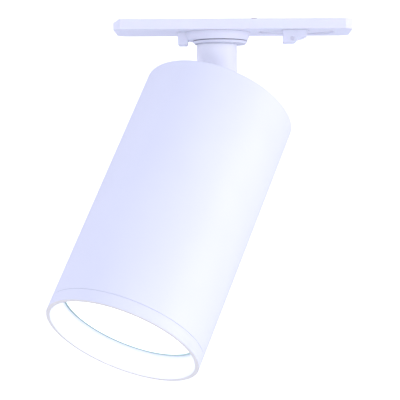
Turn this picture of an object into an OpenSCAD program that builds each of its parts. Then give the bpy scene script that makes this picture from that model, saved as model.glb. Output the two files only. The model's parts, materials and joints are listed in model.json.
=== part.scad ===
// Track spotlight: a cylindrical lamp head on a short stem under a slim track adapter.
// Origin: on the pan axis, in the adapter's top face, which lies against the track.
// +X runs along the track towards the lock dial, +Z points up into the track.

/* [Lamp head] */
// Outer diameter of the lamp head
head_d = 60; // [56:1:64]
// Length of the lamp head, front ring included
head_len = 106.1; // [104:0.1:125]
// Wall thickness of the housing tube
wall = 1.3; // [1.1:0.1:1.5]
// Height of the front ring that shows below the seam
ring_h = 4.6; // [3:0.1:5]
// Distance from the open end to the face of the glass
glass_depth = 9.5; // [8:0.1:12]
// Thickness of the front glass
glass_t = 2; // [1.5:0.5:3]

/* [Pose at rest] */
// Direction in which the lamp head leans, anticlockwise from +X
pan = 233.3; // [0:0.1:359.9]
// Lean of the lamp head from straight down
tilt = 33.7; // [0:0.1:45]

/* [Stem] */
// Outer diameter of the stem
stem_d = 15.7; // [14:0.1:16]
// Depth of the tilt pivot below the adapter's top face
pivot_drop = 34.6; // [34.4:0.2:42]
// Height of the stem's lower end above the pivot
stem_clear = 13; // [12.6:0.2:14]
// Depth of the pivot inside the lamp head, from its rear edge
pivot_depth = 2.4; // [2.2:0.1:2.6]
// Diameter of the pivot pin
pin_d = 3; // [2.4:0.1:3]

/* [Adapter] */
// Length of the adapter plate on the stem's short side
plate_left = 39.7; // [36:0.1:50]
// Length of the adapter plate on the lock dial's side
plate_right = 52.2; // [49:0.1:60]
// Width of the adapter plate
plate_w = 31.2; // [31:0.1:36]
// Thickness of the adapter plate
plate_t = 4; // [4:0.1:5]
// Chamfer on the plate's upright corners
corner = 2.7; // [1:0.1:4]
// Distance from the stem's axis to the lock dial's axis
dial_x = 31.1; // [30.6:0.1:32]
// Diameter of the round recess under the lock dial
recess_d = 29.6; // [26:0.2:30]

/* [Clearances] */
// Radial clearance of turning parts
run = 0.05; // [0.02:0.01:0.08]
// Gap between parts that are clipped or pressed together
snug = 0.02; // [0.01:0.01:0.04]

/* [Hidden] */
$fn = 96;

eps = 0.01;
// Reach and depth of a screw's cross recess, as shares of its head
cross_reach = 0.55;
cross_depth = 0.7;
white = "#f4f5fb";
pale = "#e6e8f0";
steel = "#9a9da3";
copper = "#c47b4a";

// Adapter levels, from the top face at zero downwards
lid_t = 0.8;
floor_t = 1.2;
land_w = 2.2;
under = -plate_t;
floor_top = under + floor_t;
recess_h = 0.8;
lid_top = -0.1;
lid_w = plate_w - 2 * land_w;
lid_left = plate_left - land_w;
lid_right = plate_right - land_w;
lid_open_r = 11.4;
chamber_right = 14.2;
lid_gap = 0.1;
lid_screw_inset = 3;
lid_screw_x = [-lid_left + lid_screw_inset, -20, lid_right - lid_screw_inset];
lid_screw_y = 10.4;
lid_screw_r = 0.78;
lid_screw_head_r = 1.38;
lid_screw_len = 2.2;
lid_hole_r = 0.9;
lid_hole_head_r = 1.5;
lid_post_r = 2.1;
lid_pilot_r = 0.8;
chamber_edge_x = 2;
chamber_edge_y = 1.4;
bevel_l = 2.35;
bevel_h = 1.3;
// How much of an inset the corner chamfers give up, so that their faces stay parallel
corner_share = 0.6;

// Contact lever: the tapered ring round the stem, with its finger tab
lever_r = 12.75;
lever_h = 3.2;
lever_edge_h = 1.25;
lever_low_r = 11.95;
lever_bore_r = 5.6;
spigot_r = 5;
hub_r = spigot_r + run;
drive_r = 9.4;
drive_half_w = 0.8;
drive_half_a = 9;
slot_margin_a = 3;
lever_turn = 90;
tab_w = 3.9;
tab_x = -15.2;
tab_half_y = 4.2;
tab_drop = 5.05;
tab_round = 0.7;

// Contact rotor: the disc in the lid's opening, with two arms that swing the blades out
rotor_z = -0.5;
rotor_t = 0.75;
rotor_r = 11.2;
arm_z = 0.05;
arm_t = 0.7;
rotor_reach = 16;
rotor_half_w = 3.2;
blade_z = arm_z + arm_t;
blade_t = 0.25;
blade_len = 10.2;
blade_end = 0.3;
blade_rim = 0.6;
tip_end = 0.1;
tip_len = 2.3;
tip_h = 0.85;
tip_half_w = 1.6;
lead_r = 0.45;
lead_hole_r = lead_r + run;
lead_z = rotor_z - lead_r - run;
lead_start_r = 1.5;
lead_end_r = 7;
lead_drop = 1.2;

// Lock dial and lock tongue
dial_r = 4.8;
dial_gap = 0.05;
wedge_h = 4.2;
wedge_half_y = 4.6;
wedge_back = 5.3;
wedge_front = 4.1;
wedge_flat = wedge_back * 0.15;
wedge_knee_x = wedge_front * 0.12;
wedge_knee_h = wedge_h * 0.3;
wedge_waist_x = wedge_front * 0.7;
wedge_waist_h = wedge_h * 0.46;
wedge_toe_h = wedge_h * 0.64;
dimple_x = 1.7;
dimple_r = 0.8;
dimple_drop = 2.7;
dimple_depth = 0.5;
shaft_r = 3;
boss_r = 5.2;
boss_rim = 0.3;
spring_seat = -1.3;
lock_t = 0.8;
lock_z = 0.15;
lock_reach = 13;
lock_half_w = 3.1;
lock_screw_r = 0.78;
lock_screw_head_r = 1.5;
lock_screw_len = 3;
lock_tip_gap = 0.2;

// Stem levels
lever_low = under - lever_h;
shim_t = 0.22;
washer_t = 0.99;
washer_edge = 0.6;
stack_gap = 0.03;
shim_up_z = lever_low - stack_gap - shim_t;
washer_z = shim_up_z - washer_t;
shim_low_z = washer_z - shim_t;
washer_r = 10.6;
washer_x = 1.25;
washer_bore_r = spigot_r + washer_x + run;
shim_up_r = 10.35;
shim_low_r = 9.85;
stem_r = stem_d / 2;
stem_top = -1.5;
stem_end = stem_clear - pivot_drop;
spigot_bore = 3;
stem_bore = 5.9;
stem_edge = 0.2;
stem_foot = 0.5;
nut_t = 1.15;
nut_r = 7.8;
insert_h = 6.2;
insert_top = stem_end + insert_h;
set_level = 3;
set_r = 1.25;
set_len = 5;
set_sunk = 0.3;
set_tip_gap = 0.5;
set_socket_r = 0.65;
set_socket_h = 1.2;
cable_r = 1.5;
cable_off = 3.9;
cable_slant = 3.6;
cable_lead = 1.2;
cable_top_gap = 1.6;
cable_stub = 0.6;
bend_swell = 0.1;
bore_step = 0.4;
bore_taper = 2;

// Tilt hinge, measured in the head's frame from the pivot
pin_r = pin_d / 2;
tongue_t = 4;
tongue_half = tongue_t / 2;
tongue_r = 4;
washer_gap = 0.03;
thrust_t = 0.3;
cheek_in = tongue_half + 2 * washer_gap + thrust_t;
cheek_t = 1.4;
cheek_out = cheek_in + cheek_t;
cheek_half_x = 3.8;
thrust_r = cheek_half_x - 0.2;
cheek_top = pin_r + 0.35;
slot_back = tongue_r + 0.4;
slot_front = 8.2;
slot_half_y = cheek_out + 0.1;

// Head levels, measured from its rear edge towards the open end
head_r = head_d / 2;
bore_r = head_r - wall;
fit_r = bore_r - run;
cap_in = 0.3;
cap_t = 2.5;
base_t = 1.6;
cap_low = cap_in + cap_t;
base_low = cap_low + base_t;
base_x = 15;
base_y = 9.5;
screw_x = 11.2;
screw_y = 6.6;
screw_r = 1.5;
screw_head_r = 2.7;
grommet_x = -20;
grommet_r = 2.6;
grommet_lip = 0.8;
grommet_lip_h = 0.7;
grommet_lip_round = 0.3;
head_cable_out = 1.4;
head_cable_gap = 0.2;
cup_top = 9;
cup_low = 42;
cup_r = 26.5;
cup_t = 1.2;
board_l = 12;
board_t = 1.6;
board_r = 24;
glass_low = head_len - glass_depth;
glass_top = glass_low - glass_t;
gasket_t = 0.8;
gasket_top = glass_top - gasket_t;
reflector_h = 12;
reflector_top = gasket_top - reflector_h;
chip_t = 1.1;
led_low = reflector_top - 0.25;
led_t = 1.6;
led_top = led_low - led_t;
led_r = 21;
led_screw_a = [0, 120, 240];
led_screw_ring = 17;
led_screw_r = 1;
led_screw_len = 4.4;
led_screw_head_r = 1.8;
led_screw_head_h = 1;
sink_t = 4;
sink_top = led_top - 32;
sink_core_r = 12;
fin_count = 18;
fin_t = 1.2;
fin_gap = 0.4;
coil_half_x = 7;
coil_y = 14.2;
coil_half_y = 5;
coil_h = 14;
coil_post_r = 4.6;
coil_post_h = 1.5;
big_cap = [13, -9, 4.6, 18];
small_cap = [0, -16, 3.6, 13];
terminal_x = -18.8;
terminal_y = 8;
terminal_half_x = 3.2;
terminal_half_y = 4;
terminal_h = 2.4;
terminal_hole_y = 2;
terminal_hole_r = 1.2;
wire_r = 0.7;
wire_hole_r = wire_r + 0.2;
wire_x = 6;
wire_end = 0.6;
chip_r = 6.5;
chip_base_t = 0.6;
chip_dome_h = 0.7;
throat_r = 9.6;
lip_r = 25.4;
gasket_in_r = lip_r + 0.4;
glass_r = fit_r - 0.1;
shell_t = 0.8;
flange_r = fit_r - 0.2;
flange_t = 1;
ring_seam = head_len - ring_h;
seam_gap = 0.08;
seam_edge = 0.06;
ring_in_r = head_r - 1.6;
sleeve_in_r = head_r - 2.65;
rim_edge = 0.16;
rim_lip = 0.3;
lip_share = 0.3;
rear_edge = 0.35;

// ---- Helpers ----

// A ring from radius a to radius b, standing on z
module ring(a, b, z, h) {
    difference() {
        translate([0, 0, z]) cylinder(r = b, h = h);
        translate([0, 0, z - 1]) cylinder(r = a, h = h + 2);
    }
}

// A sector of a ring: radii a to b, from angle "from", "span" degrees wide
module sector(a, b, from, span, z, h) {
    rotate([0, 0, from])
        rotate_extrude(angle = span)
            translate([a, z]) square([b - a, h]);
}

// A box given by its two corners
module block(x0, x1, y0, y1, z0, z1) {
    translate([x0, y0, z0]) cube([x1 - x0, y1 - y0, z1 - z0]);
}

// A round bar along Y through the pivot
module cross_bar(r, y0, y1) {
    translate([0, y0, 0]) rotate([-90, 0, 0]) cylinder(r = r, h = y1 - y0);
}

// A countersunk screw with its flat head's top on z = 0, slotted by a cross recess
module flat_screw(r, head_r, len) {
    head_h = head_r - r;
    arm = head_r * cross_reach;
    low = -head_h * cross_depth;
    difference() {
        union() {
            translate([0, 0, -head_h]) cylinder(r1 = r, r2 = head_r, h = head_h);
            translate([0, 0, -len]) cylinder(r = r, h = len - head_h + eps);
        }
        block(-arm, arm, -arm / 4, arm / 4, low, 1);
        block(-arm / 4, arm / 4, -arm, arm, low, 1);
    }
}

// The countersunk hole that takes flat_screw
module flat_hole(r, head_r, len) {
    head_h = head_r - r;
    translate([0, 0, -head_h - run])
        cylinder(r1 = r + run, r2 = head_r + 2 * run, h = head_h + run + eps);
    translate([0, 0, -len - 1]) cylinder(r = r + run, h = len + 1);
    cylinder(r = head_r + 2 * run, h = 1);
}

// Outline of the adapter plate with chamfered corners
module plate_outline(inset) {
    l = -plate_left + inset;
    r = plate_right - inset;
    w = plate_w / 2 - inset;
    c = corner - inset * corner_share;
    polygon([
        [l + c, -w], [r - c, -w], [r, -w + c], [r, w - c],
        [r - c, w], [l + c, w], [l, w - c], [l, -w + c]
    ]);
}

// Moves a shape from the pivot's frame to the stem: X is the swing direction, Y the pivot
module on_stem() {
    translate([0, 0, -pivot_drop]) rotate([0, 0, pan]) children();
}

// Moves a shape from the pivot's frame to the leaning head
module in_head() {
    on_stem() rotate([0, -tilt, 0]) children();
}

// A disc in the head between two distances from its rear edge
module head_disc(r, top, low) {
    translate([0, 0, pivot_depth - low]) cylinder(r = r, h = low - top);
}

// A ring in the head between two distances from its rear edge
module head_ring(a, b, top, low) {
    ring(a, b, pivot_depth - low, low - top);
}

// ---- Adapter ----

// The wedge cut off the top at the end that enters the track first
module lead_in() {
    translate([-plate_left, plate_w, 0]) rotate([90, 0, 0]) linear_extrude(2 * plate_w)
        polygon([[-1, -bevel_h * (1 + 1 / bevel_l)], [bevel_l * 2, bevel_h], [-1, bevel_h]]);
}

module adapter_cover() {
    color(white) difference() {
        union() {
            difference() {
                translate([0, 0, under]) linear_extrude(plate_t) plate_outline(0);
                // Rebate that holds the lid, and the chamber below it
                block(-lid_left, lid_right, -lid_w / 2, lid_w / 2, lid_top - lid_t, 1);
                block(
                    -lid_left + chamber_edge_x, chamber_right,
                    -lid_w / 2 + chamber_edge_y, lid_w / 2 - chamber_edge_y, floor_top, 0
                );
            }
            for (x = lid_screw_x, y = [-lid_screw_y, lid_screw_y])
                translate([x, y, floor_top - eps])
                    cylinder(r = lid_post_r, h = lid_top - lid_t - floor_top);
        }
        lead_in();
        for (x = lid_screw_x, y = [-lid_screw_y, lid_screw_y])
            translate([x, y, floor_top]) cylinder(r = lid_pilot_r, h = plate_t);
        // Bore for the stem, and the two slots that the contact lever's lugs pass through
        translate([0, 0, under - 1]) cylinder(r = hub_r, h = plate_t);
        for (a = [0, 180])
            sector(
                drive_r - drive_half_w - run, drive_r + drive_half_w + run,
                a - drive_half_a - slot_margin_a,
                lever_turn + 2 * (drive_half_a + slot_margin_a), under - 1, plate_t
            );
        // Round recess under the lock dial, its shaft bore and spring seat
        translate([dial_x, 0, under - 1]) cylinder(r = recess_d / 2, h = recess_h + 1);
        translate([dial_x, 0, under - 1]) cylinder(r = shaft_r + run, h = plate_t + 2);
        translate([dial_x, 0, spring_seat]) cylinder(r = boss_r, h = 2);
    }
}

module adapter_lid() {
    color(pale) difference() {
        block(
            -lid_left + lid_gap, lid_right - lid_gap,
            -lid_w / 2 + lid_gap, lid_w / 2 - lid_gap, lid_top - lid_t + snug, lid_top
        );
        translate([0, 0, -plate_t]) cylinder(r = lid_open_r, h = plate_t + 1);
        translate([dial_x, 0, -plate_t]) cylinder(r = boss_r + lid_gap, h = plate_t + 1);
        for (x = lid_screw_x, y = [-lid_screw_y, lid_screw_y])
            translate([x, y, lid_top]) flat_hole(lid_hole_r, lid_hole_head_r, 1);
        lead_in();
    }
}

module adapter_screws() {
    color(steel) for (x = lid_screw_x, y = [-lid_screw_y, lid_screw_y])
        translate([x, y, lid_top]) flat_screw(lid_screw_r, lid_screw_head_r, lid_screw_len);
}

// Wave washer under the lock tongue that draws the dial into its recess
module dial_spring() {
    z = spring_seat + stack_gap;
    color(steel) translate([dial_x, 0, 0])
        ring(shaft_r + boss_rim, boss_r - boss_rim, z, lock_z - stack_gap - z);
}

// ---- Contact lever ----

// Side profile of the finger tab: a short block with a rounded lower edge
module contact_tab() {
    r = tab_round;
    top = under - stack_gap;
    translate([0, tab_half_y, 0]) rotate([90, 0, 0]) linear_extrude(2 * tab_half_y)
        union() {
            block2(tab_x, tab_x + tab_w, under - tab_drop + r, top);
            block2(tab_x + r, tab_x + tab_w - r, under - tab_drop, top);
            for (x = [tab_x + r, tab_x + tab_w - r])
                translate([x, under - tab_drop + r]) circle(r = r);
        }
}

// A rectangle given by its corners
module block2(x0, x1, y0, y1) {
    translate([x0, y0]) square([x1 - x0, y1 - y0]);
}

module contact_lever() {
    top = under - stack_gap;
    color(white) difference() {
        union() {
            rotate_extrude() polygon([
                [0, top], [lever_r, top], [lever_r, top - lever_edge_h],
                [lever_low_r, lever_low], [0, lever_low]
            ]);
            contact_tab();
            for (a = [0, 180])
                sector(
                    drive_r - drive_half_w, drive_r + drive_half_w,
                    a - drive_half_a, 2 * drive_half_a, top - eps, rotor_z - top + eps
                );
        }
        translate([0, 0, lever_low - 1]) cylinder(r = lever_bore_r, h = lever_h + 2);
    }
}

module contact_rotor() {
    color(pale) difference() {
        union() {
            translate([0, 0, rotor_z]) cylinder(r = rotor_r, h = rotor_t);
            intersection() {
                block(-rotor_reach, rotor_reach, -rotor_half_w, rotor_half_w, arm_z, arm_z + arm_t);
                translate([0, 0, rotor_z]) cylinder(r = rotor_reach - run, h = 2 * rotor_t + arm_t);
            }
        }
        for (a = [0, 180])
            rotate([0, 0, a]) translate([lead_end_r, 0, rotor_z - 1])
                cylinder(r = lead_hole_r, h = 4);
    }
}

// Two copper blades on the rotor's arms; the live one ends in a raised contact
module contact_blades() {
    half_w = rotor_half_w - blade_rim;
    end = rotor_reach - blade_end;
    color(copper) for (a = [0, 180])
        rotate([0, 0, a]) difference() {
            union() {
                block(end - blade_len, end, -half_w, half_w, blade_z, blade_z + blade_t);
                if (a == 0)
                    block(
                        end - tip_len, end - tip_end, -tip_half_w, tip_half_w,
                        blade_z, blade_z + tip_h
                    );
            }
            translate([lead_end_r, 0, blade_z - 1]) cylinder(r = lead_hole_r, h = 3);
        }
}

// Insulated leads under the rotor, up through its arms and down into the stem's bore
module contact_leads() {
    low = stem_top - lead_drop;
    color("#c23a2e") for (a = [0, 180])
        rotate([0, 0, a]) {
            translate([lead_start_r, 0, lead_z]) rotate([0, 90, 0])
                cylinder(r = lead_r, h = lead_end_r - lead_start_r);
            for (x = [lead_start_r, lead_end_r])
                translate([x, 0, lead_z]) sphere(r = lead_r + snug, $fn = 32);
            translate([lead_start_r, 0, low]) cylinder(r = lead_r, h = lead_z - low);
            translate([lead_end_r, 0, lead_z]) cylinder(r = lead_r, h = blade_z + blade_t - lead_z);
        }
}

// ---- Lock ----

// Finger wedge of the lock dial: full height at one side, sloping away to the other
module lock_wedge() {
    top = under + recess_h - dial_gap;
    low = under - wedge_h;
    translate([dial_x, wedge_half_y, 0]) rotate([90, 0, 0]) linear_extrude(2 * wedge_half_y)
        polygon([
            [-wedge_back, top], [-wedge_back, low], [-wedge_flat, low],
            [wedge_knee_x, low + wedge_knee_h], [wedge_waist_x, low + wedge_waist_h],
            [wedge_front, low + wedge_toe_h], [wedge_front, top]
        ]);
}

module lock_dial() {
    z = under + dial_gap;
    color(white) difference() {
        union() {
            translate([dial_x, 0, z]) cylinder(r = dial_r, h = recess_h - 2 * dial_gap);
            translate([dial_x, 0, z]) cylinder(r = shaft_r, h = lock_z - z);
            lock_wedge();
        }
        // Small dimple in each side of the wedge
        for (side = [-1, 1])
            translate([dial_x - dimple_x, side * wedge_half_y, under - dimple_drop])
                rotate([90, 0, 0]) translate([0, 0, -dimple_depth])
                    cylinder(r = dimple_r, h = 2 * dimple_depth);
        translate([dial_x, 0, lock_z - lock_screw_len + lock_tip_gap])
            cylinder(r = lock_screw_r + snug, h = lock_screw_len + 2);
    }
}

module lock_tongue() {
    color(steel) translate([dial_x, 0, 0]) difference() {
        intersection() {
            block(-lock_reach, lock_reach, -lock_half_w, lock_half_w, lock_z, lock_z + lock_t);
            translate([0, 0, lock_z - 1]) cylinder(r = lock_reach, h = lock_t + 2);
        }
        translate([0, 0, lock_z + lock_t]) flat_hole(lock_screw_r + run, lock_screw_head_r, 1);
    }
}

module lock_screw() {
    color(steel) translate([dial_x, 0, lock_z + lock_t])
        flat_screw(lock_screw_r, lock_screw_head_r, lock_screw_len);
}

// ---- Stem ----

// The three washers are loose on the spigot and lie off centre, away from the lever's tab
module shim_upper() {
    color("#4a4d54") translate([washer_x, 0, 0])
        ring(washer_bore_r, shim_up_r, shim_up_z, shim_t);
}

// Washer with a bevelled lower edge
module friction_washer() {
    top = washer_z + washer_t;
    color(white) translate([washer_x, 0, 0]) rotate_extrude() polygon([
        [washer_bore_r, washer_z], [washer_r - washer_edge, washer_z],
        [washer_r, washer_z + washer_edge], [washer_r, top], [washer_bore_r, top]
    ]);
}

module shim_lower() {
    color(pale) translate([washer_x, 0, 0])
        ring(washer_bore_r, shim_low_r, shim_low_z, shim_t);
}

// The stem with the spigot that turns in the adapter
module stem_tube() {
    color(white) difference() {
        rotate_extrude() polygon([
            [spigot_bore, stem_top], [spigot_r, stem_top], [spigot_r, shim_low_z],
            [stem_r - stem_edge, shim_low_z], [stem_r, shim_low_z - stem_edge],
            [stem_r, stem_end + stem_foot], [stem_r - stem_foot, stem_end],
            [stem_bore, stem_end], [stem_bore, insert_top + cable_slant + bore_step],
            [spigot_bore, insert_top + cable_slant + bore_step + bore_taper]
        ]);
        on_stem() translate([0, 0, stem_clear + set_level]) rotate([0, -90, 0])
            cylinder(r = set_r + snug, h = stem_d);
    }
}

module stem_nut() {
    color(steel) difference() {
        translate([0, 0, floor_top + stack_gap]) cylinder(r = nut_r, h = nut_t, $fn = 6);
        translate([0, 0, floor_top - 1]) cylinder(r = spigot_r + snug, h = plate_t);
    }
}

// Insert pressed into the stem, with the flat tongue that the head hangs on
module stem_tongue() {
    color(pale) on_stem() difference() {
        union() {
            translate([0, 0, stem_clear]) cylinder(r = stem_bore - snug, h = insert_h);
            block(-tongue_r, tongue_r, -tongue_half, tongue_half, 0, stem_clear + eps);
            cross_bar(tongue_r, -tongue_half, tongue_half);
        }
        cross_bar(pin_r + run, -tongue_t, tongue_t);
        translate([0, cable_off, stem_clear - 1]) cylinder(r = cable_r + run, h = insert_h + 2);
        translate([set_len - stem_r, 0, stem_clear + set_level]) rotate([0, -90, 0])
            cylinder(r = set_r + snug, h = stem_d);
    }
}

// Grub screw through the stem's wall, which locks the insert
module stem_set_screw() {
    color(steel) on_stem() translate([-stem_r + set_sunk, 0, stem_clear + set_level])
        rotate([0, 90, 0]) difference() {
            cylinder(r = set_r, h = set_len - set_tip_gap);
            translate([0, 0, -1]) cylinder(r = set_socket_r, h = 1 + set_socket_h, $fn = 6);
        }
}

// Two-core cable from the adapter through the stem
module stem_cable() {
    top = pivot_drop + stem_top - cable_top_gap;
    low = stem_clear - cable_stub;
    bend = pivot_drop + insert_top + cable_lead;
    color("#f0f0f0") on_stem() {
        translate([0, cable_off, low]) cylinder(r = cable_r, h = bend - low);
        translate([0, 0, bend + cable_slant])
            cylinder(r = cable_r, h = top - bend - cable_slant);
        // Slanted run between the insert's hole and the spigot's bore, its bends a little fuller
        translate([0, cable_off, bend]) sphere(r = cable_r + bend_swell);
        translate([0, 0, bend + cable_slant]) sphere(r = cable_r + bend_swell);
        translate([0, cable_off, bend]) rotate([atan2(cable_off, cable_slant), 0, 0])
            cylinder(r = cable_r, h = norm([cable_off, cable_slant]));
    }
}

// ---- Tilt hinge ----

module pivot_pin() {
    color(steel) in_head() cross_bar(pin_r, -cheek_out, cheek_out);
}

module pivot_washers() {
    color("#d8d8d0") in_head() for (s = [-1, 1])
        translate([0, s * (tongue_half + washer_gap + thrust_t / 2), 0])
            difference() {
                cross_bar(thrust_r, -thrust_t / 2, thrust_t / 2);
                cross_bar(pin_r + run, -1, 1);
            }
}

module hinge_bracket() {
    color(pale) in_head() difference() {
        union() {
            block(
                -base_x, base_x, -base_y, base_y,
                pivot_depth - base_low, pivot_depth - cap_low - snug
            );
            for (s = [-1, 1])
                translate([0, s * (cheek_in + cheek_out) / 2, 0]) intersection() {
                    cross_bar(cheek_half_x, -cheek_t / 2, cheek_t / 2);
                    block(
                        -cheek_half_x - 1, cheek_half_x + 1, -cheek_t, cheek_t,
                        pivot_depth - base_low, cheek_top
                    );
                }
        }
        cross_bar(pin_r + snug, -9, 9);
        block(-slot_back, slot_front - 2, -cheek_in, cheek_in, -10, 10);
        for (x = [-screw_x, screw_x], y = [-screw_y, screw_y])
            translate([x, y, -10]) cylinder(r = screw_r + snug, h = 20);
    }
}

module rear_cap() {
    color(white) in_head() difference() {
        head_disc(fit_r, cap_in, cap_low);
        block(-slot_back, slot_front, -slot_half_y, slot_half_y, -10, 10);
        translate([grommet_x, 0, -10]) cylinder(r = grommet_r, h = 20);
        for (x = [-screw_x, screw_x], y = [-screw_y, screw_y])
            translate([x, y, pivot_depth - cap_in]) flat_hole(screw_r, screw_head_r, 6);
    }
}

module cap_screws() {
    color(steel) in_head() for (x = [-screw_x, screw_x], y = [-screw_y, screw_y])
        translate([x, y, pivot_depth - cap_in]) flat_screw(screw_r, screw_head_r, 6);
}

module cable_grommet() {
    in_r = cable_r + run;
    neck_r = grommet_r - snug;
    rim_r = grommet_r + grommet_lip;
    low = pivot_depth - cap_low - grommet_lip;
    seat = pivot_depth - cap_in + snug;
    top = pivot_depth - cap_in + grommet_lip_h;
    color("#2c2d30") in_head() translate([grommet_x, 0, 0]) rotate_extrude() polygon([
        [in_r, low], [neck_r, low], [neck_r, seat], [rim_r, seat],
        [rim_r - grommet_lip_round, top], [in_r, top]
    ]);
}

module head_cable() {
    color("#f0f0f0") in_head()
        translate([grommet_x, 0, pivot_depth - board_l + head_cable_gap])
            cylinder(r = cable_r, h = board_l - head_cable_gap - cap_in + head_cable_out);
}

// ---- Lamp head ----

module housing_tube() {
    e = rear_edge;
    top = pivot_depth;
    low = pivot_depth - ring_seam + seam_gap;
    color(white) in_head() rotate_extrude($fn = 180) polygon([
        [bore_r, low], [head_r - seam_edge, low], [head_r, low + seam_edge],
        [head_r, top - e], [head_r - e, top], [bore_r + e / 2, top], [bore_r, top - e / 2]
    ]);
}

// Insulating cup round the driver, open towards the rear cap
module driver_cup() {
    color("#dcdcd6") in_head() difference() {
        head_disc(cup_r, cup_top, cup_low);
        head_disc(cup_r - cup_t, cup_top - 1, cup_low - cup_t);
        for (s = [-1, 1])
            translate([s * wire_x, 0, pivot_depth - cup_low - 1]) cylinder(r = wire_hole_r, h = 4);
    }
}

module driver_board() {
    color("#3c7a48") in_head() difference() {
        head_disc(board_r, board_l, board_l + board_t);
        for (s = [-1, 1])
            translate([s * wire_x, 0, pivot_depth - board_l - board_t - 1])
                cylinder(r = wire_hole_r, h = 4);
    }
}

module driver_transformer() {
    top = pivot_depth - board_l - board_t;
    color("#d9b23c") in_head() {
        block(
            -coil_half_x, coil_half_x, coil_y - coil_half_y, coil_y + coil_half_y,
            top - coil_h, top - snug
        );
        translate([0, coil_y, top - coil_h - coil_post_h])
            cylinder(r = coil_post_r, h = coil_post_h);
    }
}

// Two large capacitors and a small one, each given as [x, y, radius, height]
module driver_capacitors() {
    top = pivot_depth - board_l - board_t - snug;
    color("#35373c") in_head() {
        for (side = [-1, 1])
            translate([side * big_cap[0], big_cap[1], top - big_cap[3]])
                cylinder(r = big_cap[2], h = big_cap[3]);
        translate([small_cap[0], small_cap[1], top - small_cap[3]])
            cylinder(r = small_cap[2], h = small_cap[3]);
    }
}

module driver_terminal() {
    top = pivot_depth - board_l + snug;
    color("#4f7fb8") in_head() difference() {
        block(
            terminal_x - terminal_half_x, terminal_x + terminal_half_x,
            terminal_y - terminal_half_y, terminal_y + terminal_half_y,
            top, top + terminal_h
        );
        for (side = [-1, 1])
            translate([terminal_x, terminal_y + side * terminal_hole_y, top + 1])
                cylinder(r = terminal_hole_r, h = terminal_h);
    }
}

module heat_sink() {
    color("#b9bcc2") in_head() difference() {
        union() {
            head_disc(fit_r, led_top - sink_t, led_top);
            head_disc(sink_core_r, sink_top, led_top - eps);
            for (i = [0 : fin_count - 1])
                rotate([0, 0, (i + 0.5) * 360 / fin_count])
                    block(
                        sink_core_r - 1, fit_r - fin_gap, -fin_t / 2, fin_t / 2,
                        pivot_depth - led_top + 1, pivot_depth - sink_top - 0.5
                    );
        }
        for (s = [-1, 1])
            translate([s * wire_x, 0, pivot_depth - led_top - 1])
                cylinder(r = wire_hole_r, h = 40);
        for (a = led_screw_a)
            rotate([0, 0, a]) translate([led_screw_ring, 0, pivot_depth - led_top - 1])
                cylinder(r = led_screw_r + snug, h = 4);
    }
}

module led_wires() {
    color("#c23a2e") in_head() for (s = [-1, 1])
        translate([s * wire_x, 0, pivot_depth - led_top + snug])
            cylinder(r = wire_r, h = led_top - board_l + wire_end);
}

module led_board() {
    color("#eef0f2") in_head() difference() {
        head_disc(led_r, led_top + snug, led_low);
        for (a = led_screw_a)
            rotate([0, 0, a]) translate([led_screw_ring, 0, pivot_depth - led_low - 1])
                cylinder(r = led_screw_r + snug, h = 4);
    }
}

module led_chip() {
    z = pivot_depth - led_low - snug;
    color("#e9cf52") in_head() union() {
        block(-chip_r, chip_r, -chip_r, chip_r, z - chip_base_t, z);
        translate([0, 0, z - chip_t]) cylinder(r = chip_r - 1, h = chip_dome_h);
    }
}

module led_screws() {
    color(steel) in_head() for (a = led_screw_a)
        rotate([0, 0, a])
            translate([led_screw_ring, 0, pivot_depth - led_low - snug]) {
                translate([0, 0, -led_screw_head_h])
                    cylinder(r = led_screw_head_r, h = led_screw_head_h);
                translate([0, 0, -eps]) cylinder(r = led_screw_r, h = led_screw_len);
            }
}

// Inner radius of the reflector at a share t of its depth: a parabola
function bowl(t) = throat_r + (lip_r - throat_r) * sqrt(t);

module reflector() {
    steps = 14;
    z0 = pivot_depth - reflector_top;
    inner = [for (i = [0 : steps]) [bowl(i / steps), z0 - reflector_h * i / steps]];
    outer = [for (i = [steps : -1 : 0]) [bowl(i / steps) + shell_t, z0 - reflector_h * i / steps]];
    color("#f6f7fa") in_head() rotate_extrude($fn = 128) polygon(concat(
        inner,
        [[flange_r, z0 - reflector_h], [flange_r, z0 - reflector_h + flange_t]],
        [for (i = [1 : steps]) outer[i]]
    ));
}

module lens_gasket() {
    color("#3a3b3e") in_head()
        head_ring(gasket_in_r, glass_r, gasket_top + snug, glass_top - snug);
}

module front_glass() {
    color([0.86, 0.93, 0.92, 0.8]) in_head() head_disc(glass_r, glass_top, glass_low);
}

// Front ring, turned to lock: a short outer skirt and a sleeve up to the glass
module front_ring() {
    e = rim_edge;
    lip = rim_lip;
    turn = lip * lip_share;
    z_low = pivot_depth - head_len;
    z_seam = pivot_depth - ring_seam;
    z_top = pivot_depth - glass_low - stack_gap;
    color(white) in_head() rotate_extrude($fn = 180) polygon([
        [ring_in_r + e / 2, z_low], [head_r - lip, z_low],
        [head_r - turn, z_low + turn], [head_r, z_low + lip],
        [head_r, z_seam - seam_edge], [head_r - seam_edge, z_seam], [fit_r, z_seam],
        [fit_r, z_top], [sleeve_in_r, z_top], [ring_in_r, z_low + e / 2]
    ]);
}

adapter_cover();
adapter_lid();
adapter_screws();
dial_spring();
contact_lever();
contact_rotor();
contact_blades();
contact_leads();
lock_dial();
lock_tongue();
lock_screw();
shim_upper();
friction_washer();
shim_lower();
stem_tube();
stem_nut();
stem_tongue();
stem_set_screw();
stem_cable();
pivot_pin();
pivot_washers();
hinge_bracket();
rear_cap();
cap_screws();
cable_grommet();
head_cable();
housing_tube();
driver_cup();
driver_board();
driver_transformer();
driver_capacitors();
driver_terminal();
heat_sink();
led_wires();
led_board();
led_chip();
led_screws();
reflector();
lens_gasket();
front_glass();
front_ring();
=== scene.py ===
"""Looks of the track spotlight: materials, the cable at its hinge, studio and camera."""
import json
import math

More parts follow.
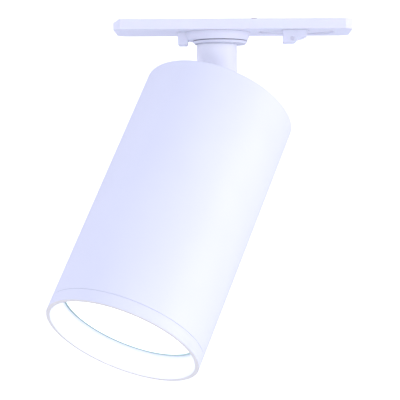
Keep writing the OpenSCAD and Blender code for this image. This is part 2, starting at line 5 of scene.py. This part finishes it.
import bmesh
import bpy
from mathutils import Matrix, Vector


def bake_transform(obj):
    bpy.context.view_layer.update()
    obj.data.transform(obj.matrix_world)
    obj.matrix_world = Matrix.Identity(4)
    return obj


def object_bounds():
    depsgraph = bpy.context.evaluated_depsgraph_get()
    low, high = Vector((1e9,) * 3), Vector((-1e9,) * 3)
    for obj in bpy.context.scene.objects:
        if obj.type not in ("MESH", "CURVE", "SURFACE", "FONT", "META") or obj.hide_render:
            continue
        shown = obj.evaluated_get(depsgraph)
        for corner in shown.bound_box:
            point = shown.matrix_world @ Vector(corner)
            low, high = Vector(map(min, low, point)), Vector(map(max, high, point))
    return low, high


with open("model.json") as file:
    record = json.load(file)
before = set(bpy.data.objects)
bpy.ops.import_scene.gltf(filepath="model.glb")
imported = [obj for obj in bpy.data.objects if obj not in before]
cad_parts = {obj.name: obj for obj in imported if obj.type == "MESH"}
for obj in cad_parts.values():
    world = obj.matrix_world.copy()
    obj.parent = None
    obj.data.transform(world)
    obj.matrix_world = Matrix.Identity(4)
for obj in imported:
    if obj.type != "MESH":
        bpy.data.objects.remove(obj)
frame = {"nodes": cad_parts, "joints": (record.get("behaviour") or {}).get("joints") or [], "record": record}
cad_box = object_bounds()

MM = 0.001
nodes = frame["nodes"]
joints = {joint["name"]: joint for joint in frame["joints"]}


# ---------------------------------------------------------------- places in the frame

# The tilt pivot, the head's axis up out of its rear cap, and the hinge's axis
PIVOT = Vector(joints["head_tilt"]["pos_m"])
HEAD_UP = Vector(joints["ring_turn"]["axis"]).normalized()
HINGE = -Vector(joints["head_tilt"]["axis"]).normalized()
STEM_UP = Vector((0.0, 0.0, 1.0))

# How near a vertex lies to the end of a piece to count as part of that end
SLEEVE_END = 0.1 * MM
CABLE_END = 0.02 * MM


def farthest_points(node, direction, reach):
    """The vertices of a CAD node that lie within reach of its end in a direction."""
    points = [vertex.co for vertex in nodes[node].data.vertices]
    end = max(point.dot(direction) for point in points)
    return [point for point in points if end - point.dot(direction) < reach]


def from_head_axis(point):
    """Distance of a point from the head's axis."""
    return (point - PIVOT).cross(HEAD_UP).length


# Inner radius of the front ring's sleeve, where it meets the glass
SLEEVE_R = min(from_head_axis(p) for p in farthest_points("front_ring", HEAD_UP, SLEEVE_END))


# ---------------------------------------------------------------- colours and nodes

# Most values of a noise texture lie between these two
NOISE_LOW = 0.35
NOISE_HIGH = 0.65
NOISE_ROUGHNESS = 0.55
# A corner shows this much open sky, or less, where it is darkest and where it fades out
CORNER_DARK = 0.35
CORNER_OPEN = 0.95
CORNER_SAMPLES = 6
# Cosines between the rounded and the plain normal, on an edge and on a flat face
EDGE_COSINE = 0.75
FLAT_COSINE = 0.98
BEVEL_SAMPLES = 4


def rgb(r, g, b):
    return (r, g, b, 1.0)


def scaled(colour, share, lift=0.0):
    """A darker or paler version of a colour."""
    return rgb(*(min(1.0, channel * share + lift) for channel in colour[:3]))


class Shader:
    """A material's node tree, with short calls for the nodes used here."""

    def __init__(self, name):
        self.material = bpy.data.materials.new(name)
        self.material.use_nodes = True
        self.tree = self.material.node_tree
        self.bsdf = self.tree.nodes["Principled BSDF"]

    def node(self, kind, **values):
        """Adds a node; each value sets a property, or else the input of that name."""
        made = self.tree.nodes.new(kind)
        for key, value in values.items():
            if hasattr(made, key):
                setattr(made, key, value)
            else:
                made.inputs[key.replace("_", " ")].default_value = value
        return made

    def give(self, socket, value):
        """Links another socket to a socket, or sets it to a plain value."""
        if isinstance(value, bpy.types.NodeSocket):
            self.tree.links.new(value, socket)
        else:
            socket.default_value = value

    def surface(self, **values):
        """Gives the surface's inputs their sockets or plain values."""
        for key, value in values.items():
            self.give(self.bsdf.inputs[key.replace("_", " ")], value)

    def place(self, stretch=(1, 1, 1)):
        """Object coordinates in metres, multiplied along each axis."""
        coordinates = self.node("ShaderNodeTexCoord")
        mapping = self.node("ShaderNodeMapping", Scale=stretch)
        self.give(mapping.inputs["Vector"], coordinates.outputs["Object"])
        return mapping.outputs["Vector"]

    def texture(self, kind, stretch=(1, 1, 1), **values):
        """Adds a texture node that follows the object's coordinates."""
        made = self.node(kind, **values)
        self.give(made.inputs["Vector"], self.place(stretch))
        return made

    def noise(self, scale, detail=3.0, stretch=(1, 1, 1)):
        """Cloudy noise with about scale features to a metre."""
        made = self.texture(
            "ShaderNodeTexNoise", stretch, Scale=scale, Detail=detail, Roughness=NOISE_ROUGHNESS
        )
        return made.outputs["Fac"]

    def ramp(self, source, low=0.0, high=1.0, start=NOISE_LOW, end=NOISE_HIGH):
        """Maps start..end of a factor to low..high."""
        made = self.node("ShaderNodeMapRange")
        limits = {"From Min": start, "From Max": end, "To Min": low, "To Max": high}
        for key, value in limits.items():
            made.inputs[key].default_value = value
        self.give(made.inputs["Value"], source)
        return made.outputs["Result"]

    def mix(self, factor, first, second):
        """Blends two colours, from the first at 0 to the second at 1."""
        made = self.node("ShaderNodeMix", data_type="RGBA")
        colours = [socket for socket in made.inputs if socket.type == "RGBA"]
        for socket, value in zip([made.inputs[0]] + colours, (factor, first, second)):
            self.give(socket, value)
        return next(socket for socket in made.outputs if socket.type == "RGBA")

    def bump(self, height, distance, strength=0.5, normal=None):
        """The normal, tilted by a height that stands for a distance in metres."""
        made = self.node("ShaderNodeBump", Strength=strength, Distance=distance)
        self.give(made.inputs["Height"], height)
        if normal:
            self.give(made.inputs["Normal"], normal)
        return made.outputs["Normal"]

    def vector_math(self, operation, first, second=None):
        """The vector or the number that an operation makes of one or two vectors."""
        made = self.node("ShaderNodeVectorMath", operation=operation)
        self.give(made.inputs[0], first)
        if second is not None:
            self.give(made.inputs[1], second)
        return made.outputs["Value" if operation in ("DOT_PRODUCT", "LENGTH") else "Vector"]

    def plain_normal(self):
        return self.node("ShaderNodeNewGeometry").outputs["Normal"]

    def rounded(self, radius):
        """The normal with sharp edges rounded off by a radius."""
        made = self.node("ShaderNodeBevel", samples=BEVEL_SAMPLES, Radius=radius)
        return made.outputs["Normal"]

    def facing(self, direction, start, end):
        """0 to 1 as the plain normal turns towards a direction, between two cosines."""
        cosine = self.vector_math("DOT_PRODUCT", self.plain_normal(), direction)
        return self.ramp(cosine, start=start, end=end)

    def crevice(self, distance):
        """Mask for painted shade: 1 in the open, down to 0 deep in corners and gaps narrower than a
        distance.
        """
        made = self.node(
            "ShaderNodeAmbientOcclusion", samples=CORNER_SAMPLES, Distance=distance
        )
        return self.ramp(made.outputs["AO"], start=CORNER_DARK, end=CORNER_OPEN)

    def edge_highlight(self, radius):
        """Mask for a painted edge highlight: 0 on flat faces, up to 1 along edges, where the rounded normal
        leans most.
        """
        cosine = self.vector_math("DOT_PRODUCT", self.rounded(radius), self.plain_normal())
        return self.ramp(cosine, low=1.0, high=0.0, start=EDGE_COSINE, end=FLAT_COSINE)


# ---------------------------------------------------------------- materials

COAT = rgb(0.875, 0.885, 0.96)
COAT_DARK = rgb(0.855, 0.865, 0.945)
# Painted shade: the warm grey of the ring's open end face
COAT_END_SHADE = rgb(0.88, 0.84, 0.76)
# Painted light: a paler copy of the coat for the stem, to lift the shade on it
STEM_COAT = rgb(0.94, 0.94, 0.97)
STEM_COAT_DARK = rgb(0.925, 0.925, 0.96)
WHITE = rgb(0.885, 0.885, 0.94)
WHITE_DARK = rgb(0.865, 0.865, 0.92)
PALE = rgb(0.72, 0.73, 0.78)
PALE_DARK = rgb(0.66, 0.67, 0.72)
BOARD_WHITE = rgb(0.84, 0.84, 0.82)
BOARD_WHITE_DARK = rgb(0.8, 0.8, 0.78)
REFLECTOR = rgb(0.9, 0.9, 0.91)
REFLECTOR_DARK = rgb(0.87, 0.87, 0.88)
TERMINAL = rgb(0.05, 0.16, 0.42)
TERMINAL_DARK = rgb(0.04, 0.12, 0.34)
COPPER = rgb(0.42, 0.2, 0.1)
COPPER_DULL = rgb(0.2, 0.1, 0.06)

# Painted shade: the share of a plastic's colour that is left deep in its gaps, and how wide a gap is
GAP_SHADE = 0.92
COVER_GAP_SHADE = 0.84
GAP_W = 1.2 * MM
# Radius that the plastic's edges are rounded to, and the width of the painted highlight along them
PLASTIC_EDGE = 0.3 * MM

# The glass has a dark green-blue rim next to the ring's sleeve, its own edge colour darkened by painted
# shade, and a green-blue halo inside the rim
RIM_W = 1.5 * MM
HALO_W = 1.4 * MM
GLASS_BODY = rgb(0.93, 0.96, 0.96)
GLASS_RIM = rgb(0.03, 0.14, 0.17)
GLASS_GLOW = rgb(0.97, 1.0, 1.0)
GLASS_HALO = rgb(0.84, 0.93, 0.93)
RIM_GLOW_NEAR = rgb(0.24, 0.28, 0.26)
RIM_GLOW_FAR = rgb(0.33, 0.39, 0.375)
# Level direction across the mouth, and the places along it between which the rim's glow grows
ACROSS = Vector((0.0, 1.0, 0.0)).cross(HEAD_UP).normalized()
GLOW_START = -0.85 * SLEEVE_R
GLOW_END = 0.3 * SLEEVE_R


def powder_coat(name, light=COAT, dark=COAT_DARK, shaded_end=None):
    """Fine matt white powder coat: a soft orange-peel and a faint tint that drifts.
    On faces that look along the end direction the coat is painted a warm grey, as shade."""
    s = Shader(name)
    tint = s.mix(s.ramp(s.noise(28.0, detail=2.0)), dark, light)
    # Painted shade: faces that look along the end direction turn a warm grey
    if shaded_end:
        tint = s.mix(s.facing(shaded_end, start=0.35, end=0.9), tint, COAT_END_SHADE)
    peel = s.bump(s.noise(1500.0, detail=2.0), 0.04 * MM, normal=s.rounded(0.22 * MM))
    s.surface(
        Base_Color=tint,
        Roughness=s.ramp(s.noise(900.0), low=0.42, high=0.54),
        Normal=s.bump(s.noise(5200.0, detail=2.0), 0.01 * MM, normal=peel),
        Specular_IOR_Level=0.42,
        Coat_Weight=0.05,
        Coat_Roughness=0.3,
    )
    return s.material


def moulded(name, light, dark, rough=(0.4, 0.52), gap_shade=GAP_SHADE):
    """Moulded plastic: a fine spark-eroded texture, edges painted paler as a highlight, painted shade in the
    gaps.
    """
    s = Shader(name)
    drift = s.mix(s.ramp(s.noise(60.0)), dark, light)
    # Painted shade: the colour darkens to a share of the dark tint deep in gaps and corners
    body = s.mix(s.crevice(GAP_W), scaled(dark, gap_shade), drift)
    grain = s.noise(2600.0)
    s.surface(
        # Painted highlight: the colour turns paler along edges
        Base_Color=s.mix(s.edge_highlight(PLASTIC_EDGE), body, scaled(light, 1.05)),
        Roughness=s.ramp(grain, *rough),
        Normal=s.bump(grain, 0.02 * MM, normal=s.rounded(PLASTIC_EDGE)),
        Specular_IOR_Level=0.4,
        Subsurface_Weight=0.04,
        Subsurface_Scale=0.8 * MM,
    )
    return s.material


def metal(name, colour, rough, stretch=(1, 1, 1), dull=None):
    """Bare or plated metal with brushed streaks, and a duller second tint in patches."""
    s = Shader(name)
    streaks = s.noise(900.0, detail=4.0, stretch=stretch)
    patches = s.ramp(s.noise(160.0))
    s.surface(
        Base_Color=s.mix(patches, colour, dull or scaled(colour, 0.78)),
        Roughness=s.ramp(streaks, low=rough - 0.08, high=rough + 0.12),
        Normal=s.bump(streaks, 0.01 * MM, strength=0.4, normal=s.rounded(0.12 * MM)),
        Metallic=1.0,
    )
    return s.material


def rubber(name, colour, rough=0.62):
    """Soft rubber or silicone: matt, with a fine bloom."""
    s = Shader(name)
    bloom = s.noise(700.0, detail=4.0)
    s.surface(
        Base_Color=s.mix(s.ramp(bloom), colour, scaled(colour, 1.25, lift=0.01)),
        Roughness=s.ramp(bloom, low=rough - 0.06, high=rough + 0.1),
        Normal=s.bump(s.noise(4200.0), 0.01 * MM, strength=0.4),
        Specular_IOR_Level=0.35,
        Sheen_Weight=0.05,
    )
    return s.material


def circuit_board():
    """Green solder mask with the faint relief and tone of buried copper tracks."""
    s = Shader("circuit_board")
    tracks = s.texture(
        "ShaderNodeTexBrick", Scale=210.0, Mortar_Size=0.028, Mortar_Smooth=0.2
    ).outputs["Fac"]
    s.surface(
        Base_Color=s.mix(tracks, rgb(0.02, 0.16, 0.06), rgb(0.05, 0.3, 0.12)),
        Normal=s.bump(tracks, 0.03 * MM, strength=0.6),
        Roughness=0.28,
        Specular_IOR_Level=0.5,
        Coat_Weight=0.3,
    )
    return s.material


def wound_tape():
    """Yellow polyester tape: overlapping turns that catch the light."""
    s = Shader("wound_tape")
    turns = s.texture(
        "ShaderNodeTexWave", wave_type="BANDS", bands_direction="Z", Scale=420.0, Distortion=0.6
    ).outputs["Fac"]
    s.surface(
        Base_Color=s.mix(turns, rgb(0.7, 0.48, 0.05), rgb(0.86, 0.65, 0.12)),
        Normal=s.bump(turns, 0.04 * MM, strength=0.6),
        Roughness=0.22,
        Coat_Weight=0.4,
    )
    return s.material


def phosphor():
    """Yellow phosphor gel on the LED chip, lit from below."""
    s = Shader("phosphor")
    cells = s.texture("ShaderNodeTexVoronoi", Scale=900.0).outputs["Distance"]
    grain = s.ramp(cells, start=0.0, end=0.8)
    s.surface(
        Base_Color=s.mix(grain, rgb(0.9, 0.72, 0.12), rgb(0.95, 0.84, 0.3)),
        Roughness=0.3,
        Emission_Color=rgb(1.0, 0.96, 0.86),
        Emission_Strength=2.5,
    )
    return s.material


def lit_glass():
    """Frosted front glass, lit from behind, with the green-blue of bare glass at its rim, where it is also
    darkened as painted shade.
    """
    s = Shader("lit_glass")
    here = s.node("ShaderNodeTexCoord").outputs["Object"]
    offset = s.vector_math("SUBTRACT", here, PIVOT)
    from_axis = s.vector_math("LENGTH", s.vector_math("CROSS_PRODUCT", offset, HEAD_UP))
    rim_start = SLEEVE_R - RIM_W
    halo = s.ramp(from_axis, start=rim_start - HALO_W, end=rim_start)
    rim = s.ramp(from_axis, start=rim_start, end=rim_start + RIM_W / 2)
    # Less light reaches the rim on the side that the head leans to
    side = s.ramp(s.vector_math("DOT_PRODUCT", offset, ACROSS), start=GLOW_START, end=GLOW_END)
    rim_glow = s.mix(side, RIM_GLOW_NEAR, RIM_GLOW_FAR)
    frost = s.noise(2400.0)
    s.surface(
        # Painted shade: the rim's base colour is a dark green-blue
        Base_Color=s.mix(rim, GLASS_BODY, GLASS_RIM),
        Emission_Color=s.mix(rim, s.mix(halo, GLASS_GLOW, GLASS_HALO), rim_glow),
        Emission_Strength=1.15,
        Roughness=s.ramp(frost, low=0.4, high=0.6),
        Normal=s.bump(frost, 0.01 * MM, strength=0.3),
    )
    return s.material


def make_materials():
    """One material for each material slot of the record."""
    along_blade = (0.2, 1, 1)
    return {
        "white_paint": powder_coat("powder_coat"),
        "white_plastic": moulded("white_plastic", WHITE, WHITE_DARK),
        "pale_plastic": moulded("pale_plastic", PALE, PALE_DARK, rough=(0.45, 0.6)),
        "terminal_plastic": moulded("terminal_plastic", TERMINAL, TERMINAL_DARK),
        "led_board_mask": moulded(
            "led_board_mask", BOARD_WHITE, BOARD_WHITE_DARK, rough=(0.25, 0.35)
        ),
        "reflector_white": moulded(
            "reflector_white", REFLECTOR, REFLECTOR_DARK, rough=(0.2, 0.3)
        ),
        "steel": metal("steel", rgb(0.62, 0.63, 0.65), rough=0.3),
        "dark_steel": metal("dark_steel", rgb(0.06, 0.065, 0.08), rough=0.45),
        "cast_zinc": metal("cast_zinc", rgb(0.66, 0.67, 0.69), rough=0.42),
        "bare_aluminium": metal("bare_aluminium", rgb(0.7, 0.71, 0.73), rough=0.34),
        "copper": metal("copper", COPPER, rough=0.3, stretch=along_blade, dull=COPPER_DULL),
        "red_wire": rubber("red_wire", rgb(0.5, 0.03, 0.02), rough=0.45),
        "white_cable": rubber("white_cable", rgb(0.76, 0.76, 0.77), rough=0.5),
        "black_rubber": rubber("black_rubber", rgb(0.02, 0.02, 0.022)),
        "capacitor_sleeve": rubber("capacitor_sleeve", rgb(0.015, 0.017, 0.03), rough=0.3),
        "circuit_board": circuit_board(),
        "transformer_tape": wound_tape(),
        "phosphor": phosphor(),
        "frosted_glass": lit_glass(),
    }


def dress_cad_nodes(materials):
    """Gives every CAD node the material of its slot, and then three of them their own:
    the ring's open end face is painted a warm grey as shade, the cover's gaps get deeper painted shade, and
    the stem gets a paler coat as painted light."""
    for part in frame["record"]["subparts"]:
        piece = nodes[part["node"]]
        piece.data.materials.clear()
        piece.data.materials.append(materials[part["material_slot"]])
    own = {
        # Painted shade: the ring's open end face is tinted warm grey
        "front_ring": powder_coat("ring_coat", shaded_end=-HEAD_UP),
        # Painted shade: the cover's gaps and recess darken more than on the other plastics
        "adapter_cover": moulded("cover_plastic", WHITE, WHITE_DARK, gap_shade=COVER_GAP_SHADE),
        # Painted light: the stem's coat is paler than the body's
        "stem_tube": powder_coat("stem_coat_painted_light", STEM_COAT, STEM_COAT_DARK),
    }
    for node, material in own.items():
        nodes[node].data.materials[0] = material


# ---------------------------------------------------------------- flexible cable

# How far the loop laps into the cable at either end, and how straight it leaves each end
CABLE_LAP = 0.4 * MM
CABLE_HANG = 9.0 * MM
CABLE_RISE = 12.0 * MM
# The loop is this much thinner than the cable's ends, so that it hides inside them
CABLE_FIT = 0.02 * MM
CABLE_SIDES = 24
CABLE_STEPS = 60


def object_from(shape, name, is_smooth):
    """Links a bmesh into the scene as an object; faces for which is_smooth holds are smooth."""
    mesh = bpy.data.meshes.new(name)
    shape.to_mesh(mesh)
    shape.free()
    for face in mesh.polygons:
        face.use_smooth = is_smooth(face)
    made = bpy.data.objects.new(name, mesh)
    bpy.context.scene.collection.objects.link(made)
    return made


def cable_end(node, direction):
    """Centre and radius of a cable's flat end that looks along a direction."""
    rim = farthest_points(node, direction, CABLE_END)
    centre = sum(rim, Vector()) / len(rim)
    return centre, max((point - centre).length for point in rim)


def bezier(points, t):
    """A point of a cubic curve, from the first of four points at 0 to the last at 1."""
    a, b, c, d = points
    u = 1 - t
    return a * u ** 3 + b * (3 * u * u * t) + c * (3 * u * t * t) + d * t ** 3


def tube_along(name, path, radius):
    """A closed round tube along a path of points, its rings carried on without twist."""
    shape = bmesh.new()
    turns = [2 * math.pi * k / CABLE_SIDES for k in range(CABLE_SIDES)]
    rings = []
    across = HINGE.copy()
    for i, point in enumerate(path):
        ahead = (path[min(i + 1, len(path) - 1)] - path[max(i - 1, 0)]).normalized()
        across = (across - ahead * across.dot(ahead)).normalized()
        other = ahead.cross(across)
        rings.append([
            shape.verts.new(point + (across * math.cos(a) + other * math.sin(a)) * radius)
            for a in turns
        ])
    for first, second in zip(rings, rings[1:]):
        for k in range(CABLE_SIDES):
            n = (k + 1) % CABLE_SIDES
            shape.faces.new((first[k], first[n], second[n], second[k]))
    shape.faces.new(list(reversed(rings[0])))
    shape.faces.new(rings[-1])
    return object_from(shape, name, lambda face: len(face.vertices) == 4)


def flex_cable(material):
    """The cable's free loop from the stem's lower end to the grommet in the rear cap."""
    start, radius = cable_end("stem_cable", -STEM_UP)
    end, _ = cable_end("head_cable", HEAD_UP)
    start += STEM_UP * CABLE_LAP
    end -= HEAD_UP * CABLE_LAP
    controls = (start, start - STEM_UP * CABLE_HANG, end + HEAD_UP * CABLE_RISE, end)
    path = [bezier(controls, k / CABLE_STEPS) for k in range(CABLE_STEPS + 1)]
    piece = tube_along("flex_cable", path, radius - CABLE_FIT)
    piece.data.materials.append(material)
    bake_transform(piece)


# ---------------------------------------------------------------- camera

# The camera stands almost straight in front, level with the middle of the lamp,
# and looks through a long lens; angles in degrees
CAM_DISTANCE = 676.2 * MM
CAM_AZIMUTH = 1.317
CAM_ELEVATION = 0.328
CAM_ROLL = -0.149
CAM_LENS = 155.5
CAM_SENSOR = 36.0
CAM_CLIP = 10 * MM
# From the tilt pivot to the point in the middle of the picture
CAM_AIM = Vector((-6.76, -0.36, -34.86)) * MM


def add_camera():
    data = bpy.data.cameras.new("camera")
    data.lens = CAM_LENS
    data.sensor_width = CAM_SENSOR
    data.clip_start = CAM_CLIP
    camera = bpy.data.objects.new("camera", data)
    bpy.context.scene.collection.objects.link(camera)
    a = math.radians(CAM_AZIMUTH)
    e = math.radians(CAM_ELEVATION)
    back = Vector((math.sin(a) * math.cos(e), -math.cos(a) * math.cos(e), math.sin(e)))
    turn = back.to_track_quat("Z", "Y").to_matrix().to_4x4()
    roll = Matrix.Rotation(math.radians(CAM_ROLL), 4, "Z")
    place = Matrix.Translation(PIVOT + CAM_AIM + back * CAM_DISTANCE)
    camera.matrix_world = place @ turn @ roll
    bpy.context.scene.camera = camera


# ---------------------------------------------------------------- studio

SURROUND = rgb(0.78, 0.81, 1.0)
SURROUND_POWER = 1.0
BACKDROP = rgb(1.0, 1.0, 1.0)
LIGHTS_AIM = Vector((0.0, 0.0, -0.08))

# The floor lies below the lamp and curves up into a wall behind it, all in metres
FLOOR_DROP = 0.25
FLOOR_FRONT = -3.0
FLOOR_BACK = 1.4
FLOOR_HALF_W = 3.0
CURVE_R = 0.6
CURVE_STEP = 6
WALL_TOP = 3.0
FLOOR_COLOUR = rgb(0.86, 0.87, 0.9)
FLOOR_GLOW = 0.6


def add_surroundings():
    """Cool white light from all sides, and a plain white backdrop for the camera."""
    world = bpy.data.worlds.new("studio")
    bpy.context.scene.world = world
    world.use_nodes = True
    tree = world.node_tree
    surround = tree.nodes["Background"]
    surround.inputs["Color"].default_value = SURROUND
    surround.inputs["Strength"].default_value = SURROUND_POWER
    seen = tree.nodes.new("ShaderNodeBackground")
    seen.inputs["Color"].default_value = BACKDROP
    path = tree.nodes.new("ShaderNodeLightPath")
    choose = tree.nodes.new("ShaderNodeMixShader")
    tree.links.new(path.outputs["Is Camera Ray"], choose.inputs["Fac"])
    tree.links.new(surround.outputs["Background"], choose.inputs[1])
    tree.links.new(seen.outputs["Background"], choose.inputs[2])
    tree.links.new(choose.outputs["Shader"], tree.nodes["World Output"].inputs["Surface"])
    view = bpy.context.scene.view_settings
    view.view_transform = "Standard"
    view.look = "None"


def soft_light(name, at, size, power, colour):
    """A round light, size metres across, that looks at the lamp."""
    data = bpy.data.lights.new(name, "AREA")
    data.shape = "DISK"
    data.size = size
    data.energy = power
    data.color = colour
    light = bpy.data.objects.new(name, data)
    light.location = at
    light.rotation_euler = (Vector(at) - LIGHTS_AIM).to_track_quat("Z", "Y").to_euler()
    bpy.context.scene.collection.objects.link(light)


def add_lights():
    # The key stands at the right, level with the adapter
    soft_light("key", (0.95, -0.22, 0.05), size=0.7, power=2.65, colour=(0.93, 0.89, 1.0))
    # A weak light behind the left side lifts the left outline
    soft_light("edge", (-0.8, 0.5, 0.0), size=0.4, power=0.9, colour=(1.0, 0.92, 0.9))
    # A fill from the front and below reaches under the adapter
    soft_light("fill", (0.0, -0.85, -0.33), size=0.3, power=1.1, colour=(0.97, 0.98, 0.95))


def add_floor():
    """A pale floor well below the lamp, curving up behind it; to the camera it also glows."""
    level = cad_box[0][2] - FLOOR_DROP
    profile = [(FLOOR_FRONT, level)]
    for degrees in range(0, 91, CURVE_STEP):
        a = math.radians(degrees)
        rise = CURVE_R * (1 - math.cos(a))
        profile.append((FLOOR_BACK + CURVE_R * math.sin(a), level + rise))
    profile.append((FLOOR_BACK + CURVE_R, level + WALL_TOP))
    shape = bmesh.new()
    rows = [
        [shape.verts.new((x, y, z)) for x in (-FLOOR_HALF_W, FLOOR_HALF_W)] for y, z in profile
    ]
    for first, second in zip(rows, rows[1:]):
        shape.faces.new((first[0], first[1], second[1], second[0]))
    floor = object_from(shape, "floor", lambda face: True)
    s = Shader("floor")
    seen = s.node("ShaderNodeLightPath").outputs["Is Camera Ray"]
    s.surface(
        Base_Color=FLOOR_COLOUR,
        Roughness=0.8,
        Emission_Color=BACKDROP,
        Emission_Strength=s.ramp(seen, high=FLOOR_GLOW, start=0.0, end=1.0),
    )
    floor.data.materials.append(s.material)


# ---------------------------------------------------------------- the scene

materials = make_materials()
dress_cad_nodes(materials)
flex_cable(materials["white_cable"])
add_floor()
add_surroundings()
add_lights()
add_camera()
